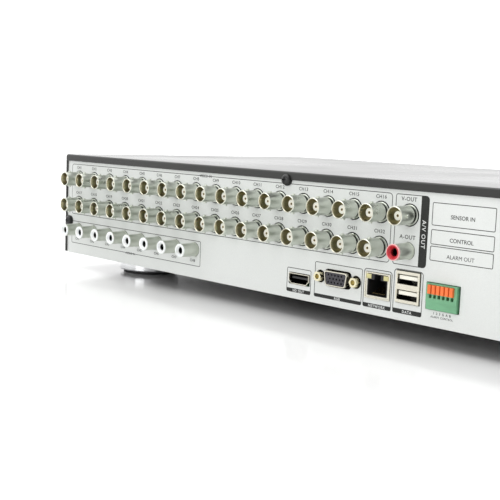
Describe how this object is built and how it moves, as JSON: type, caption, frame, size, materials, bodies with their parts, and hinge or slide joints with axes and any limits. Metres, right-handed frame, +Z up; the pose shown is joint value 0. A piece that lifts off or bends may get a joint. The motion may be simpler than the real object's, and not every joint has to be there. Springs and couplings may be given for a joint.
{
  "type": "dvr recorder",
  "caption": "Flat steel video recorder with rows of bayonet video jacks, audio jacks, ports and a push-in terminal block on its rear panel, round feet and front keys.",
  "frame": {"origin": "on the surface that the feet stand on, under the middle of the recorder's bounding box", "axes": "+X to the left seen from behind, along the width; +Y out of the rear panel; +Z up"},
  "size_m": [0.44, 0.2808, 0.0816],
  "materials": {
    "panel_paint": "fine textured light silver paint",
    "cover_paint": "dark grey powder coat",
    "chassis_steel": "galvanised sheet",
    "black_screws": "black oxide",
    "zinc_screws": "bright zinc",
    "brass_parts": "turned brass",
    "foot_chrome": "polished",
    "foot_rubber": "matt",
    "bezel_plastic": "gloss black",
    "window_plastic": "smoked",
    "board_green": "solder mask",
    "black_plastic": "moulded",
    "jack_nickel": "nickel plate",
    "white_plastic": "moulded white",
    "red_plastic": "moulded red",
    "port_nickel": "nickel plated sheet",
    "light_windows": "clear tinted",
    "terminal_green": "moulded green",
    "sink_aluminium": "extruded",
    "lead_cover": "soft vinyl",
    "button_plastic": "grey moulded",
    "lever_orange": "moulded orange"
  },
  "bodies": {
    "case": {"rear_panel": "panel_paint", "top_cover": "cover_paint", "bottom_chassis": "chassis_steel", "drive_bracket": "chassis_steel", "power_supply": "chassis_steel", "case_screws": "black_screws", "inner_screws": "zinc_screws", "board_spacers": "brass_parts", "foot_rings": "foot_chrome", "foot_pads": "foot_rubber", "front_bezel": "bezel_plastic", "front_window": "window_plastic", "front_board": "board_green", "main_board": "board_green", "video_board": "board_green", "front_switches": "black_plastic", "board_parts": "black_plastic", "video_jacks_upper": "jack_nickel", "video_jacks_lower": "jack_nickel", "video_out_jack": "jack_nickel", "audio_jacks": "jack_nickel", "jack_insulators": "white_plastic", "audio_in_sleeves": "white_plastic", "audio_out_sleeve": "red_plastic", "jack_contacts": "brass_parts", "hd_port_shell": "port_nickel", "rgb_port_shell": "port_nickel", "rgb_port_posts": "port_nickel", "network_shell": "port_nickel", "usb_shell": "port_nickel", "hd_port_tongue": "black_plastic", "rgb_port_insert": "black_plastic", "network_insert": "black_plastic", "network_lights": "light_windows", "usb_tongues": "white_plastic", "terminal_block": "terminal_green", "mains_inlet": "black_plastic", "inlet_blades": "port_nickel", "power_switch_frame": "black_plastic", "fan_frame": "black_plastic", "fan_guard": "foot_chrome", "heatsink": "sink_aluminium", "hard_drives": "sink_aluminium", "inner_leads": "lead_cover"},
    "power_button": {"power_button": "button_plastic"},
    "menu_button": {"menu_button": "button_plastic"},
    "back_button": {"back_button": "button_plastic"},
    "enter_button": {"enter_button": "button_plastic"},
    "up_button": {"up_button": "button_plastic"},
    "down_button": {"down_button": "button_plastic"},
    "left_button": {"left_button": "button_plastic"},
    "right_button": {"right_button": "button_plastic"},
    "terminal_lever_1": {"terminal_lever_1": "lever_orange"},
    "terminal_lever_2": {"terminal_lever_2": "lever_orange"},
    "terminal_lever_3": {"terminal_lever_3": "lever_orange"},
    "terminal_lever_4": {"terminal_lever_4": "lever_orange"},
    "terminal_lever_5": {"terminal_lever_5": "lever_orange"},
    "terminal_lever_6": {"terminal_lever_6": "lever_orange"},
    "power_rocker": {"power_rocker": "black_plastic"},
    "fan_rotor": {"fan_rotor": "black_plastic"}
  },
  "joints": [
    {"name": "power_press", "type": "slide", "parent": "case", "child": "power_button", "axis": [0, 1, 0], "range_m": [0, 0.0008], "stiffness_N_per_m": 1500},
    {"name": "menu_press", "type": "slide", "parent": "case", "child": "menu_button", "axis": [0, 1, 0], "range_m": [0, 0.0008], "stiffness_N_per_m": 1500},
    {"name": "back_press", "type": "slide", "parent": "case", "child": "back_button", "axis": [0, 1, 0], "range_m": [0, 0.0008], "stiffness_N_per_m": 1500},
    {"name": "enter_press", "type": "slide", "parent": "case", "child": "enter_button", "axis": [0, 1, 0], "range_m": [0, 0.0008], "stiffness_N_per_m": 1500},
    {"name": "up_press", "type": "slide", "parent": "case", "child": "up_button", "axis": [0, 1, 0], "range_m": [0, 0.0008], "stiffness_N_per_m": 1500},
    {"name": "down_press", "type": "slide", "parent": "case", "child": "down_button", "axis": [0, 1, 0], "range_m": [0, 0.0008], "stiffness_N_per_m": 1500},
    {"name": "left_press", "type": "slide", "parent": "case", "child": "left_button", "axis": [0, 1, 0], "range_m": [0, 0.0008], "stiffness_N_per_m": 1500},
    {"name": "right_press", "type": "slide", "parent": "case", "child": "right_button", "axis": [0, 1, 0], "range_m": [0, 0.0008], "stiffness_N_per_m": 1500},
    {"name": "lever_1_press", "type": "slide", "parent": "case", "child": "terminal_lever_1", "axis": [0, -1, 0], "range_m": [0, 0.0014], "stiffness_N_per_m": 3000},
    {"name": "lever_2_press", "type": "slide", "parent": "case", "child": "terminal_lever_2", "axis": [0, -1, 0], "range_m": [0, 0.0014], "stiffness_N_per_m": 3000},
    {"name": "lever_3_press", "type": "slide", "parent": "case", "child": "terminal_lever_3", "axis": [0, -1, 0], "range_m": [0, 0.0014], "stiffness_N_per_m": 3000},
    {"name": "lever_4_press", "type": "slide", "parent": "case", "child": "terminal_lever_4", "axis": [0, -1, 0], "range_m": [0, 0.0014], "stiffness_N_per_m": 3000},
    {"name": "lever_5_press", "type": "slide", "parent": "case", "child": "terminal_lever_5", "axis": [0, -1, 0], "range_m": [0, 0.0014], "stiffness_N_per_m": 3000},
    {"name": "lever_6_press", "type": "slide", "parent": "case", "child": "terminal_lever_6", "axis": [0, -1, 0], "range_m": [0, 0.0014], "stiffness_N_per_m": 3000},
    {"name": "power_rock", "type": "hinge", "parent": "case", "child": "power_rocker", "pos_m": [-0.2005, 0.1257, 0.0567], "axis": [-1, 0, 0], "range_deg": [0, 20]},
    {"name": "fan_spin", "type": "hinge", "parent": "case", "child": "fan_rotor", "pos_m": [-0.1645, 0.1177, 0.0572], "axis": [0, 1, 0], "continuous": true}
  ]
}
